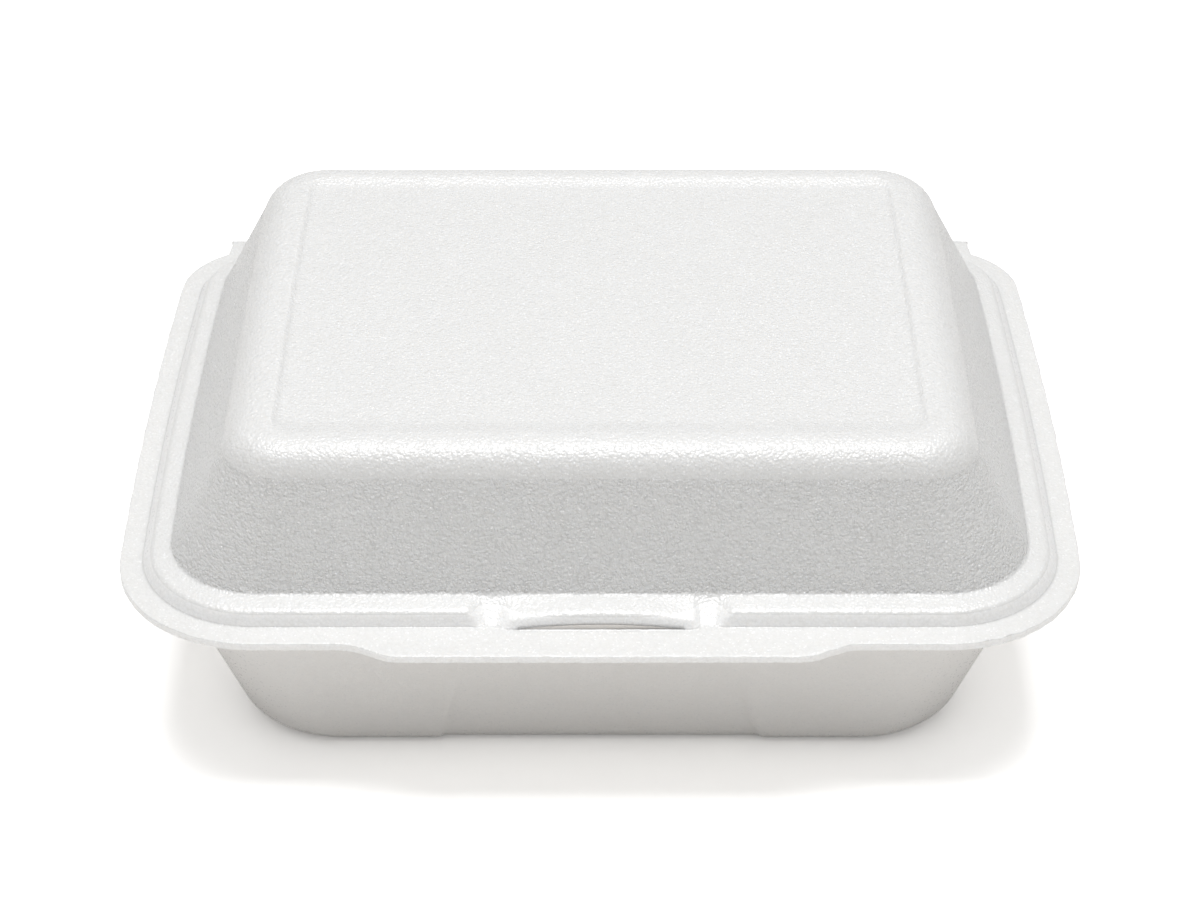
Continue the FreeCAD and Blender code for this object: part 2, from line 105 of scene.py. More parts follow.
class ClamshellLid(bpy.types.PropertyGroup):
    """Sizes of the lid"""

    bead_side: length("Bead inset, sides", "Rim edge to the bead at the sides", 5.6 * MM)
    bead_front: length("Bead inset, front", "Rim edge to the bead at the front", 6.3 * MM)
    bead_back: length("Bead inset, back", "Rim edge to the bead at the back", 5.4 * MM)
    bead_rise: length("Bead rise", "Height of the bead above the flange", 3.8 * MM)
    run_side: length("Bead run, sides", "Width of the bead's slope at the sides", 2.9 * MM)
    run_front: length("Bead run, front", "Width of the bead's slope at the front", 1.5 * MM)
    run_back: length("Bead run, back", "Width of the bead's slope at the back", 2.0 * MM)
    shelf_rise: length("Shelf rise", "How far the shelf climbs toward the dome", 0.6 * MM)
    shelf_side: length("Shelf, sides", "Width of the shelf at the sides", 4.6 * MM)
    shelf_front: length("Shelf, front", "Width of the shelf at the front", 5.9 * MM)
    shelf_back: length("Shelf, back", "Width of the shelf at the back", 3.6 * MM)
    dome_half_width: length("Dome half width", "Half width of the dome's top", 89.3 * MM)
    dome_front: length("Dome front", "Origin to the front of the dome's top", 70.5 * MM)
    dome_back: length("Dome back", "Origin to the back of the dome's top", 68.8 * MM)
    dome_corner_front: length("Dome corner, front", "Front corner radius of the dome's top", 13.5 * MM)
    dome_corner_back: length("Dome corner, back", "Back corner radius of the dome's top", 14 * MM)
    dome_side_arc: length("Dome side arc", "Radius of the dome's nearly straight sides", 6.0)
    dome_roll_top: length("Dome roll, top", "How far the rolled edge reaches over the top", 7.4 * MM)
    dome_roll_wall: length("Dome roll, wall", "How far the rolled edge reaches down the walls", 7.2 * MM)
    shoulder_drop: length("Shoulder drop", "Depth at which the side walls start to flare", 8.5 * MM)
    shoulder_side: length("Shoulder, sides", "How far the side walls reach out at the shoulder", 3.5 * MM)
    panel_depth: length("Panel depth", "Depth of the recess in the top", 1.2 * MM)
    panel_half_width: length("Panel half width", "Half width of the recess", 78.2 * MM)
    panel_front: length("Panel front", "Origin to the front of the recess", 57.1 * MM)
    panel_back: length("Panel back", "Origin to the back of the recess", 57.3 * MM)
    panel_corner: length("Panel corner", "Corner radius of the recess", 4 * MM)
    panel_slope_side: length("Panel slope, sides", "Width of the recess's side slopes", 1.6 * MM)
    panel_slope_front: length("Panel slope, front", "Width of the recess's front slope", 5.2 * MM)
    panel_slope_back: length("Panel slope, back", "Width of the recess's back slope", 3.6 * MM)
    tab_half_width: length("Tab half width", "Half width of the straight tip of the lifting tab", 48 * MM)
    tab_shoulder: length("Tab shoulder", "Width of the tab's S-shaped shoulders", 14.5 * MM)
    hood_half_width: length("Hood half width", "Half width of the arched hood", 23.5 * MM)
    hood_end_left: length("Hood end, left", "Width over which the hood's left end falls", 4.5 * MM)
    hood_end_right: length("Hood end, right", "Width over which the hood's right end falls", 2.0 * MM)
    hood_droop: length("Hood droop", "How much lower the hood is at its ends", 2.3 * MM)
    ramp_start: length("Ramp start", "Half width at which the ramps beside the hood begin", 27 * MM)
    ramp_end: length("Ramp end", "Half width at which the ramps beside the hood end", 32.5 * MM)
    hood_reach_low: length("Hood reach, low", "How far the hood's foot stands out of the bead", 1.1 * MM)
    hood_reach_high: length("Hood reach, high", "How far the hood's top stands out of the bead", 0.95 * MM)
    slot_half_width: length("Slot half width", "Half width of the crescent slot", 20.5 * MM)
    slot_rise: length("Slot rise", "Height of the crescent slot", 1.25 * MM)
    slot_sill: length("Slot sill", "Height of the slot above the flange", 0.1 * MM)
    ridge_width: length("Ridge width", "Width of the pressed ridge beside the fold", 1.8 * MM)
    ridge_rise: length("Ridge rise", "Height of the pressed ridge beside the fold", 0.8 * MM)


class ClamshellTray(bpy.types.PropertyGroup):
    """Sizes of the tray"""

    setback: length("Setback", "How far the tray's flange stays under the lid's", 3 * MM)
    wall_half_width: length("Wall half width", "Half width where the walls meet the flange", 107.4 * MM)
    wall_front: length("Wall front", "Origin to the front wall at the flange", 78.4 * MM)
    wall_back: length("Wall back", "Origin to the back wall at the flange", 79 * MM)
    wall_corner: length("Wall corner", "Corner radius of the walls at the flange", 23 * MM)
    floor_half_width: length("Floor half width", "Half width of the underside before rounding", 92.9 * MM)
    floor_depth: length("Floor half depth", "Half depth of the underside before rounding", 67.5 * MM)
    floor_corner: length("Floor corner", "Corner radius of the underside", 25 * MM)
    floor_round: length("Floor rounding", "Radius between the walls and the underside", 8.7 * MM)
    lip_gap: length("Lip gap", "Room between the tray's lip and the lid's bead", 0.8 * MM)
    recess_half_width: length("Recess half width", "Half width of the front recess at the bottom", 41 * MM)
    recess_taper: length("Recess taper", "How much narrower the recess is at its top", 8 * MM)
    recess_height: length("Recess height", "Height at which the front recess fades out", 34 * MM)
    recess_depth: length("Recess depth", "Depth of the front recess at the bottom", 1.0 * MM)
    tongue_length: length("Tongue length", "Depth of the locking tongue", 3.6 * MM)
    tongue_play: length("Tongue play", "Room between the locking tongue and its slot", 0.05 * MM)
    tongue_recess: length("Tongue recess", "How far the tongue's face stays inside the slot", 0.35 * MM)


class ClamshellFinish(bpy.types.PropertyGroup):
    """Colours and grain of the foam, and the painted light, painted shade and painted glints laid on some
    of its faces
    """

    foam: colour("Foam", "Colour of the foam", (0.83, 0.83, 0.827, 1))
    pressed: colour("Pressed foam", "Colour of the denser foam of the rim", (0.815, 0.815, 0.81, 1))
    # Painted light: this near-white colour is laid on the trimmed edge face and the bead's sloping face to
    # lighten these front-facing faces
    stretched: colour("Stretched foam", "Colour where the sheet was cut or drawn", (0.985, 0.985, 0.978, 1))
    # Painted shade: a darker, warmer colour that stands in for the shade inside the lid's slot, where the
    # tongue sits
    tongue_painted_shade: colour("Tongue foam", "Colour of the rubbed locking tongue", (0.75, 0.705, 0.655, 1))
    tray_foam: colour("Tray foam", "Colour of the tray's foam", (0.84, 0.825, 0.806, 1))
    shade: colour("Foam between cells", "Slightly darker foam between the cells", (0.72, 0.717, 0.705, 1))
    # Painted glints: white base colour on scattered single grains, standing in for glossy highlights
    glint: colour("Glint", "Colour of the brightest cells", (1.0, 1.0, 1.0, 1))
    speck: colour("Speck", "Colour of the small dark speck on the tray", (0.12, 0.11, 0.1, 1))
    ground: colour("Floor", "Colour of the floor as it lights the object", (0.96, 0.95, 0.935, 1))
    ground_gain: bpy.props.FloatProperty(
        name="Floor gain", description="How much whiter the camera sees the floor", default=1.8, min=0.0
    )
    cell: length("Cell", "Width of one foam cell", 0.8 * MM)
    glint_spacing: length("Glint spacing", "Width of the grains that may glint", 0.5 * MM)
    crumb: length("Crumb", "Size of the crumbs along the trimmed edges", 0.17 * MM)


class SocketMath:
    """A shader socket that adds, multiplies and compares like a number"""

    def __init__(self, tree, socket):
        self.tree = tree
        self.socket = socket

    def _join(self, operation, first, second, clamp=False):
        node = self.tree.nodes.new("ShaderNodeMath")
        node.operation = operation
        node.use_clamp = clamp
        for slot, value in zip(node.inputs, (first, second)):
            if isinstance(value, SocketMath):
                self.tree.links.new(value.socket, slot)
            else:
                slot.default_value = value
        return SocketMath(self.tree, node.outputs[0])

    def __add__(self, other):
        return self._join("ADD", self, other)

    def __radd__(self, other):
        return self._join("ADD", other, self)

    def __sub__(self, other):
        return self._join("SUBTRACT", self, other)

    def __rsub__(self, other):
        return self._join("SUBTRACT", other, self)

    def __mul__(self, other):
        return self._join("MULTIPLY", self, other)

    def __rmul__(self, other):
        return self._join("MULTIPLY", other, self)

    def __truediv__(self, other):
        return self._join("DIVIDE", self, other)

    def __gt__(self, other):
        return self._join("GREATER_THAN", self, other)

    def __lt__(self, other):
        return self._join("LESS_THAN", self, other)

    def clamped(self):
        return self._join("ADD", self, 0.0, clamp=True)


class MaterialTree:
    """Node tree of one material, with one method that adds any node"""

    def __init__(self, name):
        self.material = bpy.data.materials.new(name)
        self.material.use_nodes = True
        self.tree = self.material.node_tree
        self.tree.nodes.clear()
        self.output = self.node("ShaderNodeOutputMaterial")

    def node(self, kind, inputs=None, **settings):
        made = self.tree.nodes.new(kind)
        for key, value in settings.items():
            setattr(made, key, value)
        for key, value in (inputs or {}).items():
            self.plug(made.inputs[key], value)
        return made

    def plug(self, slot, value):
        if isinstance(value, SocketMath):
            value = value.socket
        if isinstance(value, bpy.types.NodeSocket):
            self.tree.links.new(value, slot)
        else:
            slot.default_value = value

    def value(self, socket):
        return SocketMath(self.tree, socket)

    def mix(self, factor, first, second):
        made = self.node("ShaderNodeMix", data_type="RGBA")
        self.plug(made.inputs["Factor"], factor)
        self.plug(made.inputs["A"], first)
        self.plug(made.inputs["B"], second)
        return made.outputs["Result"]


# Bands of the finish and of the painted light on the cut edge and the bead's sloping face, measured from
# the lid's edges and the fold, and depths of the grain
FOLD_MARGIN = 3 * MM
RIM_BAND = 7 * MM
RIM_FADE = 1.5 * MM
CUT_BAND = 1.9 * MM
BEAD_LIGHT_START = 2.6 * MM
BEAD_LIGHT_END = 5.2 * MM
ROLL_BAND = 7 * MM
GRAIN_DEPTH = 0.22 * MM
WALL_GRAIN = 0.36 * MM
PRESSED_GRAIN = 0.11 * MM
SPECK_AT = Vector((-0.0338, -0.0773, AXIS.z - 8.5 * MM))
SPECK_RADIUS = 0.55 * MM


def foam_material(name, finish, body_foam, grain, speck_at=None, with_rim=True):
    """Pressed foam sheet: closed cells in low relief and short streaks, with painted glints on a few grains
    and painted light on the cut edge and the bead's sloping face.
    """
    made = MaterialTree(name)
    place = made.node("ShaderNodeTexCoord").outputs["Object"]
    cells = made.node("ShaderNodeTexVoronoi", {"Vector": place, "Scale": 1 / finish.cell})
    tiny = made.node("ShaderNodeTexVoronoi", {"Vector": place, "Scale": 1 / finish.glint_spacing})
    cloud = made.node("ShaderNodeTexNoise", {"Vector": place, "Scale": 90.0, "Detail": 3.0})
    stretched = made.node("ShaderNodeMapping", {"Vector": place, "Scale": (800.0, 800.0, 1500.0)})
    streak = made.node("ShaderNodeTexNoise", {"Vector": stretched.outputs[0], "Scale": 1.0, "Detail": 3.0})
    cell_rise = 1.0 - made.value(cells.outputs["Distance"])
    tiny_depth = made.value(tiny.outputs["Distance"])
    cell_pick = made.node("ShaderNodeSeparateColor", {"Color": cells.outputs["Color"]})
    tiny_pick = made.node("ShaderNodeSeparateColor", {"Color": tiny.outputs["Color"]})
    foam = body_foam
    depth = GRAIN_DEPTH
    wall = 0.0
    if with_rim:
        level = made.value(made.node("ShaderNodeSeparateXYZ", {"Vector": place}).outputs["Z"])
        above_fold = level > AXIS.z - FOLD_MARGIN
        pressed = ((LID_LOW.z + RIM_BAND - level) / RIM_FADE).clamped() * above_fold
        foam = made.mix(pressed, foam, finish.pressed)
        # Painted light: the trimmed edge face and the bead's sloping face get the near-white colour, which
        # lightens them
        cut = above_fold * (level < LID_LOW.z + CUT_BAND)
        bead_face_painted_light = (level > LID_LOW.z + BEAD_LIGHT_START) * (level < LID_LOW.z + BEAD_LIGHT_END)
        foam = made.mix(cut + bead_face_painted_light, foam, finish.stretched)
        wall = (level > LID_LOW.z + RIM_BAND) * (level < LID_HIGH.z - ROLL_BAND)
        depth = depth + wall * WALL_GRAIN - pressed * PRESSED_GRAIN
    tone = (made.value(streak.outputs["Fac"]) - 0.5) * 0.7
    tone = tone + (made.value(cell_pick.outputs["Red"]) - 0.5) * 0.3
    tone = tone + (made.value(cloud.outputs["Fac"]) - 0.5) * 0.35 + (0.62 - cell_rise) * 0.6
    tone = tone * (0.7 * grain + wall * 0.5) + (0.13 - wall * 0.14)
    base = made.mix(tone.clamped(), foam, finish.shade)
    # Painted glints: a few single grains get a white base colour as if they caught the light
    painted_glint_cells = (made.value(tiny_pick.outputs["Green"]) > 0.91) * (tiny_depth < 0.5)
    base = made.mix(painted_glint_cells * grain, base, finish.glint)
    if speck_at is not None:
        apart = made.node("ShaderNodeVectorMath", {0: place, 1: speck_at}, operation="DISTANCE")
        inside = made.value(apart.outputs["Value"]) < SPECK_RADIUS
        base = made.mix(inside * 0.8, base, finish.speck)
    relief = cell_rise * 0.9 + (1.0 - tiny_depth) * 0.35 + made.value(streak.outputs["Fac"]) * 0.7
    bump = made.node("ShaderNodeBump", {"Strength": min(1.0, grain), "Distance": depth, "Height": relief})
    rough = 0.31 - painted_glint_cells * 0.13
    shader = made.node(
        "ShaderNodeBsdfPrincipled",
        {"Base Color": base, "Roughness": rough, "Normal": bump.outputs["Normal"]},
    )
    shader.inputs["Specular IOR Level"].default_value = 0.9
    shader.inputs["Subsurface Weight"].default_value = 0.6
    shader.inputs["Subsurface Radius"].default_value = (1.0, 0.97, 0.93)
    shader.inputs["Subsurface Scale"].default_value = 2.0 * MM
    made.tree.links.new(shader.outputs[0], made.output.inputs["Surface"])
    return made.material


RIM_SHARE = 6
TOP_SHARE = 7
LOW_SHARE = 8
BOW = 9


class Section:
    """One level of a pressed shell: an outline, its height, local weights and softness

    The row holds half width, front, back, both corner radii, height, the share of the trimmed rim, of
    the bead's top and of the bead's foot, and how much the sides bow.
    """

    def __init__(self, outline, z, bow, rim=0.0, top=0.0, low=0.0, soft=0.0):
        self.row = np.array([*outline, z, rim, top, low, bow])
        self.soft = soft if isinstance(soft, tuple) else (soft, soft)

    def inward(self, distance, z, share=1.0, soft=0.0):
        """The same outline moved inward, at another height"""
        half, front, back, corner_front, corner_back = self.row[:5]
        outline = (
            half - distance, front - distance, back - distance,
            corner_front - distance * share, corner_back - distance * share,
        )
        return Section(
            outline, z, self.row[BOW], top=self.row[TOP_SHARE], low=self.row[LOW_SHARE], soft=soft,
        )

    def toward(self, other, share, soft=0.0):
        """A section part of the way to another one"""
        made = Section(self.row[:5], self.row[5], self.row[BOW], soft=soft)
        made.row = self.row + (other.row - self.row) * share
        return made

    def shrunk(self, share):
        outline = self.row[:5] * share
        return Section(outline, self.row[5], self.row[BOW])


def farthest(first, second):
    """Longest step between two levels, over the side, the front and the back"""
    return max(np.hypot(second[i] - first[i], second[5] - first[5]) for i in range(3))


def softened(sections, spacing):
    """Rows along a profile, with each corner that has a softness turned into a short curve"""
    points = [section.row for section in sections]
    leave = []
    arrive = []
    for first, second in zip(sections[:-1], sections[1:]):
        gap = farthest(first.row, second.row)
        total = (first.soft[1] + second.soft[0]) / gap
        scale = min(1.0, 0.96 / max(total, 1e-9)) / gap
        leave.append(first.soft[1] * scale)
        arrive.append(second.soft[0] * scale)
    rows = [points[0]]

    def straight_to(target):
        start = rows[-1]
        count = max(1, int(math.ceil(farthest(start, target) / spacing)))
        for step in range(1, count + 1):
            rows.append(start + (target - start) * step / count)

    for index in range(1, len(points) - 1):
        here = points[index]
        softness = max(sections[index].soft)
        if softness <= 0:
            straight_to(here)
            continue
        before = here + (points[index - 1] - here) * arrive[index - 1]
        after = here + (points[index + 1] - here) * leave[index]
        straight_to(before)
        count = 5 if softness < 2 * MM else 14
        for step in range(1, count + 1):
            t = step / count
            rows.append((1 - t) ** 2 * before + 2 * t * (1 - t) * here + t ** 2 * after)
    straight_to(points[-1])
    return np.array(rows)


FRONT_STEPS = 150
CORNER_STEPS = 40
SIDE_STEPS = 70
BACK_STEPS = 60


def half_outline(outline, side_arc):
    """Right half of an outline, from the middle of the front to the middle of the back"""
    half, front, back, corner_front, corner_back = outline
    centre = half - side_arc

    def corner(end, radius):
        y = end - radius
        x = centre + math.sqrt(max((side_arc - radius) ** 2 - y * y, 0.0))
        return x, y, math.atan2(y, x - centre)

    xf, yf, angle_front = corner(front, corner_front)
    xb, yb, angle_back = corner(back, corner_back)
    parts = []
    share = np.linspace(0, 1, FRONT_STEPS)[:-1] ** 1.35
    parts.append(np.c_[xf * share, np.full(len(share), -front)])
    turn = np.linspace(0, math.pi / 2 - angle_front, CORNER_STEPS)[:-1]
    parts.append(np.c_[xf + corner_front * np.sin(turn), -yf - corner_front * np.cos(turn)])
    turn = np.linspace(-angle_front, angle_back, SIDE_STEPS)[:-1]
    parts.append(np.c_[centre + side_arc * np.cos(turn), side_arc * np.sin(turn)])
    turn = np.linspace(angle_back, math.pi / 2, CORNER_STEPS)[:-1]
    parts.append(np.c_[xb + corner_back * np.cos(turn), yb + corner_back * np.sin(turn)])
    parts.append(np.c_[xb * np.linspace(1, 0, BACK_STEPS), np.full(BACK_STEPS, back)])
    return np.vstack(parts)


def rings_from(rows):
    """Rings of points, one for each row, all with the same number of points"""
    rings = []
    for row in rows:
        right = half_outline(row[:5], 1 / row[BOW])
        left = right[-2:0:-1] * (-1, 1)
        flat = np.vstack([right, left])
        rings.append(np.c_[flat, np.full(len(flat), row[5])])
    return np.array(rings)


def smooth_step(value):
    t = np.clip(value, 0, 1)
    return t * t * (3 - 2 * t)


def wander(x, y, z, size):
    """Slow unevenness of pressed foam, nearly the same on both faces of the sheet"""
    first = np.sin(41 * x + 1.3) * np.cos(53 * y - 0.4 + 30 * z)
    second = np.sin(97 * x - 61 * y + 2.1) * 0.5
    third = np.cos(29 * y + 83 * z + 37 * x) * 0.6
    return size * (first + second + third) / 2


def closed_shell(name, outer, inner):
    """Mesh from rings that run from one middle over the rim to the other middle"""
    rings = np.concatenate([outer, inner])
    count, around = rings.shape[:2]
    points = rings.reshape(-1, 3)
    first_middle = rings[0].mean(0)
    last_middle = rings[-1].mean(0)
    points = np.vstack([points, first_middle, last_middle])
    ring_index, step = np.meshgrid(np.arange(count - 1), np.arange(around), indexing="ij")
    following = (step + 1) % around
    quads = np.stack([
        ring_index * around + step, (ring_index + 1) * around + step,
        (ring_index + 1) * around + following, ring_index * around + following,
    ], axis=-1).reshape(-1, 4)
    faces = [tuple(int(v) for v in quad) for quad in quads]
    top = count * around
    base = (count - 1) * around
    for step in range(around):
        following = (step + 1) % around
        faces.append((top, step, following))
        faces.append((top + 1, base + following, base + step))
    mesh = bpy.data.meshes.new(name)
    mesh.from_pydata([tuple(point) for point in points], [], faces)
    return finish_mesh(name, mesh)


def finish_mesh(name, mesh):
    """Object from a mesh, with outward normals and smooth faces"""
    work = bmesh.new()
    work.from_mesh(mesh)
    bmesh.ops.remove_doubles(work, verts=work.verts, dist=1e-7)
    bmesh.ops.recalc_face_normals(work, faces=work.faces)
    if work.calc_volume(signed=True) < 0:
        bmesh.ops.reverse_faces(work, faces=work.faces)
    work.to_mesh(mesh)
    work.free()
    mesh.polygons.foreach_set("use_smooth", [True] * len(mesh.polygons))
    mesh.update()
    made = bpy.data.objects.new(name, mesh)
    bpy.context.scene.collection.objects.link(made)
    return made


def replace_material(piece, material):
    piece.data.materials.clear()
    piece.data.materials.append(material)


def applied(piece):
    """The piece with its modifiers turned into a plain mesh"""
    bpy.context.view_layer.update()
    graph = bpy.context.evaluated_depsgraph_get()
    mesh = bpy.data.meshes.new_from_object(piece.evaluated_get(graph))
    old = piece.data
    piece.modifiers.clear()
    piece.data = mesh
    bpy.data.meshes.remove(old)
    mesh.name = piece.name
    return piece


def lid_foam():
    finish = bpy.context.scene.clamshell_finish
    name = "pressed_foam"
    return bpy.data.materials.get(name) or foam_material(name, finish, finish.foam, 1.0)


def tray_foam():
    finish = bpy.context.scene.clamshell_finish
    name = "pressed_foam_tray"
    return bpy.data.materials.get(name) or foam_material(name, finish, finish.tray_foam, 0.4, SPECK_AT)


def tongue_painted_shade():
    finish = bpy.context.scene.clamshell_finish
    return foam_material("painted_shade_slot_foam", finish, finish.tongue_painted_shade, 0.3, with_rim=False)


def cut_edge_shift(x, y, rim):
    """Small wander of the trimmed edge, larger where it is nicked near the right front corner"""
    fine = np.sin(910 * x + 610 * y) * 0.5
    fine = fine + np.sin(1730 * x - 1310 * y + 0.7) * 0.3 + np.sin(390 * y + 2.0) * 0.4
    near = np.exp(-(((x - 0.096) / 0.012) ** 2 + ((y + 0.078) / 0.012) ** 2))
    return rim.cut_wander * fine * (1 + 2.5 * near)


def lid_sections(rim, lid):
    """Outer and inner profiles of the lid, each from one middle to the rim or back"""
    under = LID_LOW.z
    top = under + rim.sheet
    shelf_z = top + lid.bead_rise
    foot_z = shelf_z + lid.shelf_rise
    dome_z = LID_HIGH.z
    rim_bow = 1 / rim.side_arc
    dome_bow = 1 / lid.dome_side_arc

    def at_inset(side, front, back, z, **weights):
        outline = (
            rim.half_width - side, rim.front - front, rim.back - back,
            rim.corner_front - side, rim.corner_back - side / 2,
        )
        return Section(outline, z, rim_bow, **weights)

    bead_low = at_inset(lid.bead_side, lid.bead_front, lid.bead_back, top, low=1.0, soft=0.35 * MM)
    bead_high = at_inset(
        lid.bead_side + lid.run_side, lid.bead_front + lid.run_front, lid.bead_back + lid.run_back,
        shelf_z, top=1.0, soft=(1.5 * MM, 1.1 * MM),
    )
    foot = at_inset(
        lid.bead_side + lid.run_side + lid.shelf_side, lid.bead_front + lid.run_front + lid.shelf_front,
        lid.bead_back + lid.run_back + lid.shelf_back, foot_z, soft=0.7 * MM,
    )
    dome = Section(
        (lid.dome_half_width, lid.dome_front, lid.dome_back, lid.dome_corner_front, lid.dome_corner_back),
        dome_z, dome_bow, soft=(lid.dome_roll_top, lid.dome_roll_wall),
    )
    shoulder = dome.toward(foot, lid.shoulder_drop / (dome_z - foot_z), soft=1.0 * MM)
    shoulder.row[0] = lid.dome_half_width + lid.shoulder_side
    corner = lid.panel_corner + lid.panel_slope_side
    mouth = Section(
        (lid.panel_half_width + lid.panel_slope_side, lid.panel_front + lid.panel_slope_front,
         lid.panel_back + lid.panel_slope_back, corner, corner),
        dome_z, dome_bow, soft=(1.8 * MM, 0.5 * MM),
    )
    panel = Section(
        (lid.panel_half_width, lid.panel_front, lid.panel_back, lid.panel_corner, lid.panel_corner),
        dome_z - lid.panel_depth, dome_bow, soft=(2.0 * MM, 1.7 * MM),
    )
    middle = under + rim.sheet / 2
    outer = [
        panel.shrunk(0.03), panel, mouth, dome, shoulder, foot, bead_high, bead_low,
        at_inset(0, 0, 0, top, rim=1.0, soft=0.4 * MM), at_inset(0, 0, 0, middle, rim=1.0),
    ]
    ceiling = dome_z - rim.wall
    hollow_panel = panel.inward(-rim.wall / 4, ceiling - lid.panel_depth, soft=0.6 * MM)
    inner = [
        at_inset(0, 0, 0, middle, rim=1.0), at_inset(0, 0, 0, under, rim=1.0, soft=0.5 * MM),
        bead_low.inward(rim.sheet / 2, under, soft=0.6 * MM),
        bead_high.inward(rim.sheet * 0.7, shelf_z - rim.sheet, soft=0.8 * MM),
        foot.inward(rim.wall, foot_z - rim.sheet - lid.shelf_rise, soft=1.0 * MM),
        shoulder.inward(rim.wall, shoulder.row[5], share=0.5, soft=2.0 * MM),
        dome.inward(
            rim.wall, ceiling, share=0.5, soft=(lid.dome_roll_wall - rim.wall, lid.dome_roll_top - rim.wall)
        ),
        mouth.inward(rim.wall / 4, ceiling, soft=0.6 * MM),
        hollow_panel, hollow_panel.shrunk(0.03),
    ]
    return outer, inner


def shape_front(rings, rows, rim, lid):
    """Lifting tab, arched hood and its ramps along the lid's front edge"""
    x, y, z = rings[..., 0], rings[..., 1], rings[..., 2]
    rim_share = rows[:, RIM_SHARE][:, None]
    top_share = rows[:, TOP_SHARE][:, None]
    low_share = rows[:, LOW_SHARE][:, None]
    front = y < -0.05
    across = np.abs(x)
    reach = -rim.front - LID_LOW.y
    tab = smooth_step((lid.tab_half_width + lid.tab_shoulder - across) / lid.tab_shoulder)
    y -= reach * tab * rim_share * front
    end_width = np.where(x < 0, lid.hood_end_left, lid.hood_end_right)
    hood = smooth_step((lid.hood_half_width - across) / end_width + 0.5)
    arch = 1.1 - lid.hood_droop / lid.bead_rise * (across / lid.hood_half_width) ** 2.2
    ramp = smooth_step((across - lid.ramp_start) / (lid.ramp_end - lid.ramp_start))
    height = np.maximum(np.maximum(arch * hood, ramp), 0.05)
    z -= lid.bead_rise * (1 - height) * top_share * front
    push = smooth_step((lid.ramp_end - across) / (lid.ramp_end - lid.hood_half_width))
    y -= (lid.hood_reach_low * low_share + lid.hood_reach_high * top_share) * push * front


def shape_back(rings, rows, rim, lid):
    """Leaf that runs out to the fold, with a pressed ridge and the line beside the fold"""
    x, y, z = rings[..., 0], rings[..., 1], rings[..., 2]
    rim_share = rows[:, RIM_SHARE][:, None]
    edge_ring = rings[int(np.argmax(rows[:, RIM_SHARE]))]
    leaf = (np.abs(edge_ring[:, 0]) <= rim.fold_half_width) & (edge_ring[:, 1] > 0.06)
    y += (AXIS.y - edge_ring[:, 1].copy())[None, :] * rim_share * leaf[None, :]
    if lid is None:
        return
    on_top = (z > LID_LOW.z + rim.sheet * 0.9) & (rim_share > 0) & leaf[None, :]
    inside = smooth_step((rim.fold_half_width - 6 * MM - np.abs(x)) / (4 * MM))
    middle = rim.back - 0.6 * MM - lid.ridge_width / 2
    ridge = np.exp(-((y - middle) / (lid.ridge_width * 0.42)) ** 4)
    groove = np.exp(-((y - rim.back - 0.35 * MM) / (0.55 * MM)) ** 2)
    z += lid.ridge_rise * (ridge - 1.15 * groove) * inside * on_top


def roughen(rings, rows, rim):
    x, y, z = rings[..., 0], rings[..., 1], rings[..., 2]
    rim_share = rows[:, RIM_SHARE][:, None]
    shift = cut_edge_shift(x, y, rim) * (rim_share > 0.97) * (y < 0.08)
    away = np.hypot(x, y)
    slow = wander(x, y, z, rim.surface_wander)
    keep = (y < 0.088) * np.ones_like(x)
    x += (shift + slow * 0.6 * keep) * x / away
    y += (shift + slow * 0.6 * keep) * y / away
    z += slow * 0.5 * keep * (z > 1 * MM) * (1 - 0.6 * rim_share)


def build_shell(name, outer, inner, rim, lid, shape_more=None):
    outer_rows = softened(outer, 1.9 * MM)
    inner_rows = softened(inner, 2.4 * MM)
    rows = np.concatenate([outer_rows, inner_rows])
    rings = rings_from(rows)
    if lid is not None:
        shape_front(rings, rows, rim, lid)
    shape_back(rings, rows, rim, lid)
    if shape_more is not None:
        shape_more(rings)
    roughen(rings, rows, rim)
    split = len(outer_rows)
    return closed_shell(name, rings[:split], rings[split:])


def crescent_block(name, half, rise, base, near, far):
    """Closed block with a crescent front: a level chord with an arc above it"""
    radius = (half ** 2 + rise ** 2) / (2 * rise)
    reach = math.asin(half / radius)
    turns = np.linspace(-reach, reach, 49)
    outline = [(radius * math.sin(t), base + rise - radius + radius * math.cos(t)) for t in turns]
    points = [(px, near, pz) for px, pz in outline] + [(px, far, pz) for px, pz in outline]
    count = len(outline)
    faces = [tuple(range(count)), tuple(range(2 * count - 1, count - 1, -1))]
    for step in range(count):
        following = (step + 1) % count
        faces.append((step, step + count, following + count, following))
    mesh = bpy.data.meshes.new(name)
    mesh.from_pydata(points, [], faces)
    return finish_mesh(name, mesh)


CUTTER_START = 3 * MM
CUTTER_LENGTH = 8 * MM


def slot_cutter(rim, lid):
    """The slot's crescent, from in front of the hood to its hollow"""
    base = LID_LOW.z + rim.sheet + lid.slot_sill
    near = lid.bead_front - rim.front - CUTTER_START
    far = near + CUTTER_LENGTH
    return crescent_block("slot_cutter", lid.slot_half_width, lid.slot_rise, base, near, far)


class CLAMSHELL_OT_lid(bpy.types.Operator):
    """Lid: flange with a lifting tab, bead, sloped dome, recessed panel and crescent slot"""

    bl_idname = "clamshell.lid"
    bl_label = "Build Lid"

    def execute(self, context):
        rim = context.scene.clamshell_rim
        lid = context.scene.clamshell_lid
        outer, inner = lid_sections(rim, lid)
        piece = build_shell("lid_shell", outer, inner, rim, lid)
        cutter = slot_cutter(rim, lid)
        cut = piece.modifiers.new("slot", "BOOLEAN")
        cut.operation = "DIFFERENCE"
        cut.solver = "EXACT"
        cut.object = cutter
        piece = applied(piece)
        bpy.data.objects.remove(cutter)
        replace_material(piece, lid_foam())
        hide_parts("lid")
        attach(piece, "lid")
        return {"FINISHED"}


